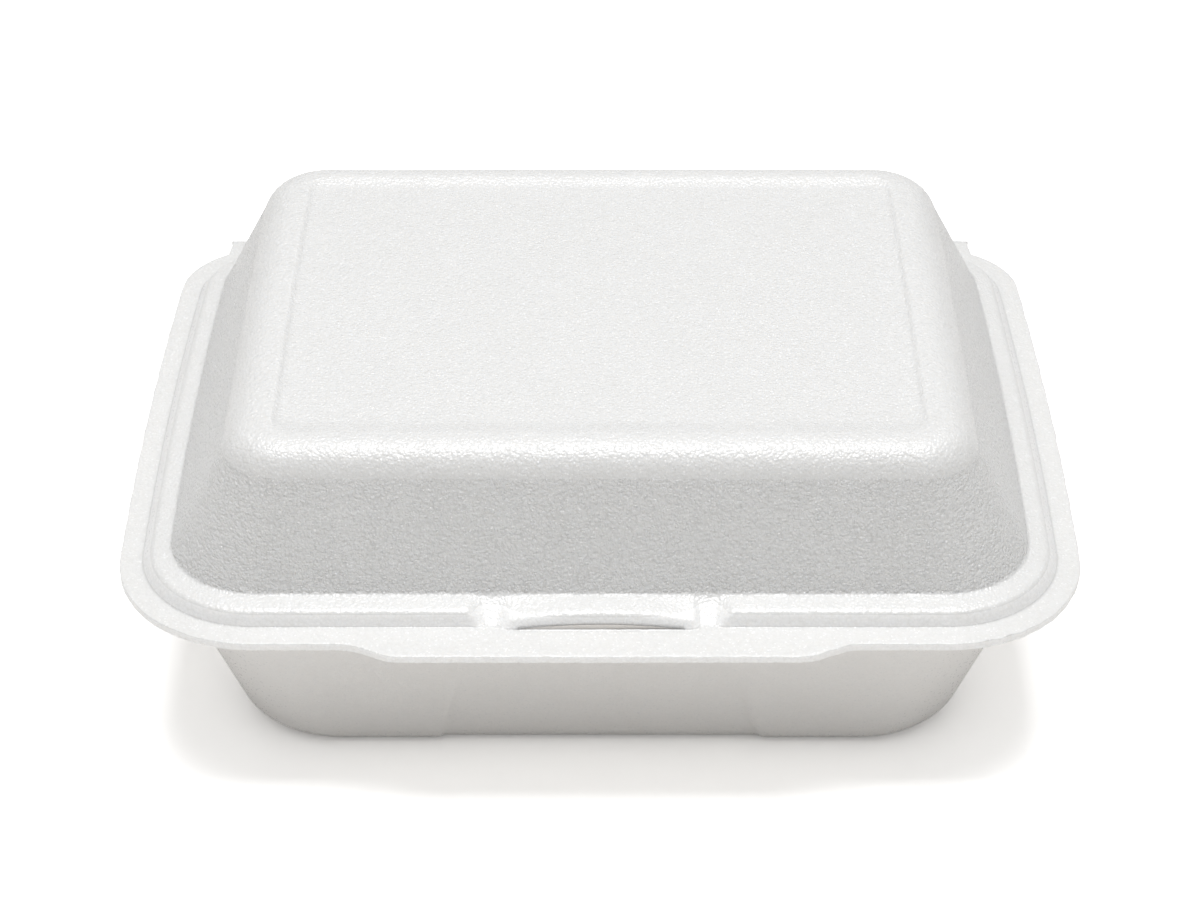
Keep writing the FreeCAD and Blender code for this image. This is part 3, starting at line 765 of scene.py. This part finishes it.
def tray_sections(rim, lid, tray):
    """Outer and inner profiles of the tray"""
    top = AXIS.z - 0.1 * MM
    under = top - rim.sheet
    lip_top = TRAY_HIGH.z
    bow = 1 / rim.side_arc
    edge = (
        rim.half_width - tray.setback, rim.front - tray.setback, rim.back,
        rim.corner_front - tray.setback, rim.corner_back - tray.setback / 2,
    )
    flange = Section(edge, top, bow, rim=1.0, soft=0.5 * MM)
    wall_top = Section(
        (tray.wall_half_width, tray.wall_front, tray.wall_back, tray.wall_corner, tray.wall_corner),
        under, bow, soft=1.6 * MM,
    )
    floor = Section(
        (tray.floor_half_width, tray.floor_depth, tray.floor_depth, tray.floor_corner, tray.floor_corner),
        0.0, bow, soft=tray.floor_round * math.tan(math.radians(37)),
    )
    edge_low = Section(edge, under, bow, rim=1.0, soft=0.5 * MM)
    edge_middle = Section(edge, (top + under) / 2, bow, rim=1.0)
    outer = [floor.shrunk(0.03), floor, wall_top, edge_low, edge_middle]
    lid_low = Section(
        (rim.half_width - lid.bead_side, rim.front - lid.bead_front, rim.back - lid.bead_back,
         rim.corner_front - lid.bead_side, rim.corner_back - lid.bead_side / 2),
        top, bow,
    )
    lip_low = lid_low.inward(rim.sheet / 2 + tray.lip_gap, top, soft=0.6 * MM)
    lean = (lip_top - top) / lid.bead_rise
    lip_inset = rim.sheet * 0.7 + tray.lip_gap + lid.run_side * 0.75 * lean
    lip_high = lid_low.inward(lip_inset, lip_top, soft=0.9 * MM)
    lip_high.row[1] = lip_low.row[1] - lid.run_front * lean
    lip_high.row[2] = lip_low.row[2] - lid.run_back * lean
    mouth = wall_top.inward(rim.wall, lip_top, share=0.5, soft=0.9 * MM)
    hollow = floor.inward(rim.wall, rim.wall, share=0.5, soft=(tray.floor_round - rim.wall) * 0.75)
    inner = [edge_middle, flange, lip_low, lip_high, mouth, hollow, hollow.shrunk(0.03)]
    return outer, inner


class CLAMSHELL_OT_tray(bpy.types.Operator):
    """Tray: flange, nesting lip, sloped walls, shallow front recess and rounded floor"""

    bl_idname = "clamshell.tray"
    bl_label = "Build Tray"

    def execute(self, context):
        rim = context.scene.clamshell_rim
        lid = context.scene.clamshell_lid
        tray = context.scene.clamshell_tray
        outer, inner = tray_sections(rim, lid, tray)

        def shape_more(rings):
            x, y, z = rings[..., 0], rings[..., 1], rings[..., 2]
            fade = np.clip(1 - z / tray.recess_height, 0, 1)
            wide = tray.recess_half_width - tray.recess_taper * (1 - fade)
            inside = smooth_step((wide - np.abs(x)) / (1.8 * MM) + 0.5)
            on_wall = smooth_step((-y - tray.floor_depth + 12 * MM) / (6 * MM))
            y += tray.recess_depth * fade * inside * on_wall

        piece = build_shell("tray_shell", outer, inner, rim, None, shape_more)
        replace_material(piece, tray_foam())
        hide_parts("tray")
        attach(piece, "tray")
        return {"FINISHED"}


class CLAMSHELL_OT_tongue(bpy.types.Operator):
    """Tongue: the tray's locking tongue, which fills the lid's crescent slot when it is shut"""

    bl_idname = "clamshell.tongue"
    bl_label = "Build Tongue"

    def execute(self, context):
        rim = context.scene.clamshell_rim
        lid = context.scene.clamshell_lid
        tray = context.scene.clamshell_tray
        base = LID_LOW.z + rim.sheet + lid.slot_sill
        near = lid.bead_front - rim.front - lid.hood_reach_low + tray.tongue_recess
        piece = crescent_block(
            "lock_tongue", lid.slot_half_width - 2 * tray.tongue_play, lid.slot_rise - tray.tongue_play,
            base, near, near + tray.tongue_length,
        )
        # Painted shade: the tongue's colour stands in for the shade inside the slot
        replace_material(piece, tongue_painted_shade())
        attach(piece, "tray")
        return {"FINISHED"}


class CLAMSHELL_OT_fold(bpy.types.Operator):
    """Fold: the thin pressed bend along the back that joins the tray's flange to the lid's"""

    bl_idname = "clamshell.fold"
    bl_label = "Build Fold"

    def execute(self, context):
        rim = context.scene.clamshell_rim
        outside = LID_LOW.z + rim.sheet - AXIS.z - 0.02 * MM
        inside = 0.12 * MM
        across = np.linspace(-rim.fold_half_width, rim.fold_half_width, 181)
        turns = np.linspace(-math.pi / 2, math.pi / 2, 17)
        section = [(math.cos(t) * outside, math.sin(t) * outside) for t in turns]
        section += [(math.cos(t) * inside, math.sin(t) * inside) for t in turns[::-1]]
        points = []
        for px in across:
            end = 1 - 0.35 * smooth_step((abs(px) - rim.fold_half_width + 2 * MM) / (2 * MM))
            uneven = 1 + 0.02 * math.sin(330 * px) + 0.015 * math.sin(870 * px + 1.0)
            for out, up in section:
                points.append((px, AXIS.y + out * end * uneven, AXIS.z + up))
        around = len(section)
        faces = []
        for ring in range(len(across) - 1):
            for step in range(around):
                following = (step + 1) % around
                first = ring * around
                second = first + around
                faces.append((first + step, first + following, second + following, second + step))
        faces.append(tuple(range(around)))
        last = (len(across) - 1) * around
        faces.append(tuple(range(last + around - 1, last - 1, -1)))
        mesh = bpy.data.meshes.new("back_fold")
        mesh.from_pydata(points, [], faces)
        piece = finish_mesh("back_fold", mesh)
        replace_material(piece, lid_foam())
        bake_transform(piece)
        return {"FINISHED"}


CRUMB_STRAY = (0.0003, 0.0003, 0.0007)
LID_CRUMBS = 420
TRAY_CRUMBS = 260


def crumb_tree(material):
    """Nodes that scatter small flattened crumbs along a path"""
    tree = bpy.data.node_groups.new("edge_crumbs", "GeometryNodeTree")
    tree.is_modifier = True
    kinds = {"Geometry": "NodeSocketGeometry", "Count": "NodeSocketInt", "Size": "NodeSocketFloat"}
    for name, kind in kinds.items():
        tree.interface.new_socket(name, in_out="INPUT", socket_type=kind)
    tree.interface.new_socket("Geometry", in_out="OUTPUT", socket_type="NodeSocketGeometry")

    def node(kind, inputs=None, **settings):
        made = tree.nodes.new(kind)
        for key, value in settings.items():
            setattr(made, key, value)
        for key, value in (inputs or {}).items():
            if isinstance(value, bpy.types.NodeSocket):
                tree.links.new(value, made.inputs[key])
            else:
                made.inputs[key].default_value = value
        return made

    given = node("NodeGroupInput").outputs

    def chance(low, high, seed):
        inputs = {"Min": low, "Max": high, "Seed": seed}
        return node("FunctionNodeRandomValue", inputs, data_type="FLOAT_VECTOR").outputs[0]

    points = node(
        "GeometryNodeCurveToPoints", {"Curve": given["Geometry"], "Count": given["Count"]}, mode="COUNT"
    )
    stray = chance((-1, -1, -1), (1, 1, 1), 5)
    spread = node("ShaderNodeVectorMath", {0: stray, 1: CRUMB_STRAY}, operation="MULTIPLY")
    moved = node(
        "GeometryNodeSetPosition", {"Geometry": points.outputs["Points"], "Offset": spread.outputs[0]}
    )
    ball = node("GeometryNodeMeshIcoSphere", {"Radius": given["Size"], "Subdivisions": 1})
    turn = chance((0, 0, 0), (6.28, 6.28, 6.28), 11)
    scale = chance((0.5, 0.5, 0.3), (1.3, 1.1, 0.8), 17)
    placed = node("GeometryNodeInstanceOnPoints", {
        "Points": moved.outputs["Geometry"], "Instance": ball.outputs["Mesh"],
        "Rotation": turn, "Scale": scale,
    })
    real = node("GeometryNodeRealizeInstances", {"Geometry": placed.outputs["Instances"]})
    painted = node("GeometryNodeSetMaterial", {"Geometry": real.outputs[0], "Material": material})
    node("NodeGroupOutput", {"Geometry": painted.outputs[0]})
    return tree


def edge_path(name, rim, lid, inset, z, with_tab):
    """Curve along the cut edge, from one end of the fold round the front to the other"""
    outline = (
        rim.half_width - inset, rim.front - inset, rim.back,
        rim.corner_front - inset, rim.corner_back - inset / 2,
    )
    right = half_outline(outline, rim.side_arc)
    right = right[(right[:, 1] < 0) | (right[:, 0] > rim.fold_half_width)]
    flat = np.vstack([right[::-1] * (-1, 1), right[1:]])
    if with_tab:
        reach = -rim.front - LID_LOW.y
        tab = smooth_step((lid.tab_half_width + lid.tab_shoulder - np.abs(flat[:, 0])) / lid.tab_shoulder)
        flat[:, 1] -= reach * tab * (flat[:, 1] < -0.05)
    curve = bpy.data.curves.new(name, "CURVE")
    curve.dimensions = "3D"
    spline = curve.splines.new("POLY")
    spline.points.add(len(flat) - 1)
    for point, (px, py) in zip(spline.points, flat):
        point.co = (px, py, z, 1)
    made = bpy.data.objects.new(name, curve)
    bpy.context.scene.collection.objects.link(made)
    return made


class CLAMSHELL_OT_crumbs(bpy.types.Operator):
    """Crumbs: loose foam cells that the trimming left along both cut edges"""

    bl_idname = "clamshell.crumbs"
    bl_label = "Build Edge Crumbs"

    def execute(self, context):
        rim = context.scene.clamshell_rim
        lid = context.scene.clamshell_lid
        tray = context.scene.clamshell_tray
        finish = context.scene.clamshell_finish
        tree = crumb_tree(lid_foam())
        entries = [item for item in tree.interface.items_tree if item.in_out == "INPUT"]
        sockets = {item.name: item.identifier for item in entries}
        edges = (
            ("lid_edge_crumbs", "lid", 0.0, LID_LOW.z + rim.sheet * 0.55, True, LID_CRUMBS),
            ("tray_edge_crumbs", "tray", tray.setback, AXIS.z - rim.sheet * 0.6, False, TRAY_CRUMBS),
        )
        for name, body, inset, z, with_tab, count in edges:
            path = edge_path(name + "_path", rim, lid, inset, z, with_tab)
            scatter = path.modifiers.new("crumbs", "NODES")
            scatter.node_group = tree
            scatter[sockets["Count"]] = count
            scatter[sockets["Size"]] = finish.crumb
            bpy.context.view_layer.update()
            graph = bpy.context.evaluated_depsgraph_get()
            mesh = bpy.data.meshes.new_from_object(path.evaluated_get(graph))
            mesh.name = name
            piece = bpy.data.objects.new(name, mesh)
            bpy.context.scene.collection.objects.link(piece)
            bpy.data.objects.remove(path)
            replace_material(piece, lid_foam())
            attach(piece, body)
        return {"FINISHED"}


class CLAMSHELL_OT_stage(bpy.types.Operator):
    """Stage: pale floor, soft light and the camera"""

    bl_idname = "clamshell.stage"
    bl_label = "Build Stage"

    def execute(self, context):
        finish = context.scene.clamshell_finish
        build_floor(finish)
        build_world()
        build_lamps()
        build_camera()
        context.scene.view_settings.view_transform = "Standard"
        return {"FINISHED"}


def build_floor(finish):
    mesh = bpy.data.meshes.new("floor")
    wide = 6.0
    corners = [(-wide, -wide, 0), (wide, -wide, 0), (wide, wide, 0), (-wide, wide, 0)]
    mesh.from_pydata(corners, [], [(0, 1, 2, 3)])
    floor = bpy.data.objects.new("floor", mesh)
    bpy.context.scene.collection.objects.link(floor)
    made = MaterialTree("pale_floor")
    plain = made.node("ShaderNodeBsdfDiffuse", {"Color": finish.ground, "Roughness": 0.0})
    gain = finish.ground_gain
    seen = made.node("ShaderNodeBsdfDiffuse", {"Color": (gain, gain, gain, 1), "Roughness": 0.0})
    path = made.node("ShaderNodeLightPath")
    mix = made.node("ShaderNodeMixShader", {"Fac": path.outputs["Is Camera Ray"], 1: plain.outputs[0]})
    made.plug(mix.inputs[2], seen.outputs[0])
    made.tree.links.new(mix.outputs[0], made.output.inputs["Surface"])
    mesh.materials.append(made.material)


def build_world():
    world = bpy.data.worlds.new("soft_surround")
    world.use_nodes = True
    bpy.context.scene.world = world
    nodes = world.node_tree.nodes
    links = world.node_tree.links
    nodes.clear()
    light = nodes.new("ShaderNodeBackground")
    light.inputs["Color"].default_value = (1.0, 0.995, 0.988, 1)
    light.inputs["Strength"].default_value = 0.4
    seen = nodes.new("ShaderNodeBackground")
    seen.inputs["Color"].default_value = (1, 1, 1, 1)
    seen.inputs["Strength"].default_value = 1.0
    path = nodes.new("ShaderNodeLightPath")
    mix = nodes.new("ShaderNodeMixShader")
    links.new(path.outputs["Is Camera Ray"], mix.inputs["Fac"])
    links.new(light.outputs[0], mix.inputs[1])
    links.new(seen.outputs[0], mix.inputs[2])
    links.new(mix.outputs[0], nodes.new("ShaderNodeOutputWorld").inputs["Surface"])


def add_area(name, place, aim, size, power):
    data = bpy.data.lights.new(name, "AREA")
    data.shape = "RECTANGLE"
    data.size, data.size_y = size
    data.energy = power
    lamp = bpy.data.objects.new(name, data)
    bpy.context.scene.collection.objects.link(lamp)
    lamp.location = place
    lamp.rotation_euler = (Vector(aim) - Vector(place)).to_track_quat("-Z", "Y").to_euler()


def build_lamps():
    add_area("top_softbox", (0.0, -0.08, 1.35), (0, 0, 0.05), (0.75, 0.6), 13.4)


CAMERA_RISE = math.radians(35.0)
CAMERA_DISTANCE = 0.7601
CAMERA_LENS = 86.85
LOOK_AT = Vector((0.0, -0.01071, 0.0522))


def build_camera():
    data = bpy.data.cameras.new("camera")
    data.lens = CAMERA_LENS
    data.sensor_width = 36.0
    data.clip_end = 50.0
    camera = bpy.data.objects.new("camera", data)
    bpy.context.scene.collection.objects.link(camera)
    back = Vector((0, -math.cos(CAMERA_RISE), math.sin(CAMERA_RISE)))
    camera.location = LOOK_AT + back * CAMERA_DISTANCE
    camera.rotation_euler = (math.pi / 2 - CAMERA_RISE, 0, 0)
    bpy.context.scene.camera = camera


class CLAMSHELL_PT_panel(bpy.types.Panel):
    """Panel that lists the container's pieces"""

    bl_label = "Clamshell"
    bl_idname = "CLAMSHELL_PT_panel"
    bl_space_type = "VIEW_3D"
    bl_region_type = "UI"
    bl_category = "Clamshell"

    def draw(self, context):
        for operator in OPERATORS:
            self.layout.operator(operator.bl_idname)
        for path in GROUPS:
            group = getattr(context.scene, path)
            column = self.layout.column(align=True)
            for name in group.bl_rna.properties.keys():
                if name not in ("rna_type", "name"):
                    column.prop(group, name)


OPERATORS = (
    CLAMSHELL_OT_tray, CLAMSHELL_OT_tongue, CLAMSHELL_OT_lid, CLAMSHELL_OT_fold,
    CLAMSHELL_OT_crumbs, CLAMSHELL_OT_stage,
)
GROUPS = {
    "clamshell_rim": ClamshellRim,
    "clamshell_lid": ClamshellLid,
    "clamshell_tray": ClamshellTray,
    "clamshell_finish": ClamshellFinish,
}
CLASSES = tuple(GROUPS.values()) + OPERATORS + (CLAMSHELL_PT_panel,)


def register():
    for item in CLASSES:
        bpy.utils.register_class(item)
    for name, group in GROUPS.items():
        setattr(bpy.types.Scene, name, bpy.props.PointerProperty(type=group))


def unregister():
    for name in GROUPS:
        delattr(bpy.types.Scene, name)
    for item in reversed(CLASSES):
        bpy.utils.unregister_class(item)


def main():
    register()
    bpy.ops.clamshell.tray()
    bpy.ops.clamshell.tongue()
    bpy.ops.clamshell.lid()
    bpy.ops.clamshell.fold()
    bpy.ops.clamshell.crumbs()
    bpy.ops.clamshell.stage()


if __name__ == "__main__":
    main()
